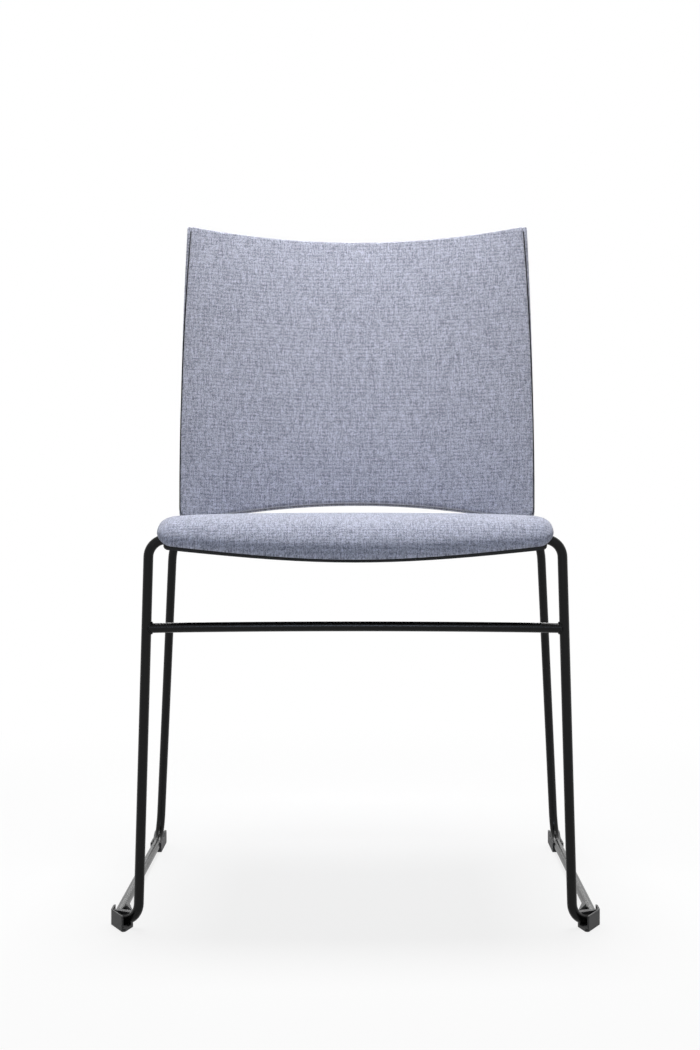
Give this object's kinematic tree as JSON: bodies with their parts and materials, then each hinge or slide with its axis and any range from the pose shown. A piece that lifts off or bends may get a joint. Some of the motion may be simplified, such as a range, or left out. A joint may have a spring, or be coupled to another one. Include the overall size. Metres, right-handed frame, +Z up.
{
  "type": "upholstered side chair",
  "caption": "Side chair with a curved upholstered back and a padded seat whose front edge rolls down, on a black bent-rod sled frame with clip-on plastic feet.",
  "frame": {"origin": "on the floor, under the middle of the chair's bounding box", "axes": "+X to the right as seen from the front, +Y to the rear, +Z up; the sitter faces -Y"},
  "size_m": [0.5454, 0.5514, 0.8331],
  "materials": {
    "rod_black": "matte black powder coat",
    "foot_plastic": "fine moulded grain",
    "shell_plastic": "fine moulded grain",
    "fastener": "zinc plated",
    "fabric": "two-tone woven upholstery over foam"
  },
  "bodies": {
    "root": {"side_frame_left": "rod_black", "side_frame_right": "rod_black", "front_stretcher": "rod_black", "rear_cross_bar": "rod_black", "seat_tabs": "rod_black", "front_foot_left": "foot_plastic", "front_foot_right": "foot_plastic", "rear_foot_left": "foot_plastic", "rear_foot_right": "foot_plastic", "seat_shell": "shell_plastic", "back_shell": "shell_plastic", "seat_inserts": "fastener", "seat_screws": "fastener", "back_screws": "fastener", "seat_pad": "fabric", "back_front_pad": "fabric", "back_rear_pad": "fabric"}
  },
  "joints": []
}
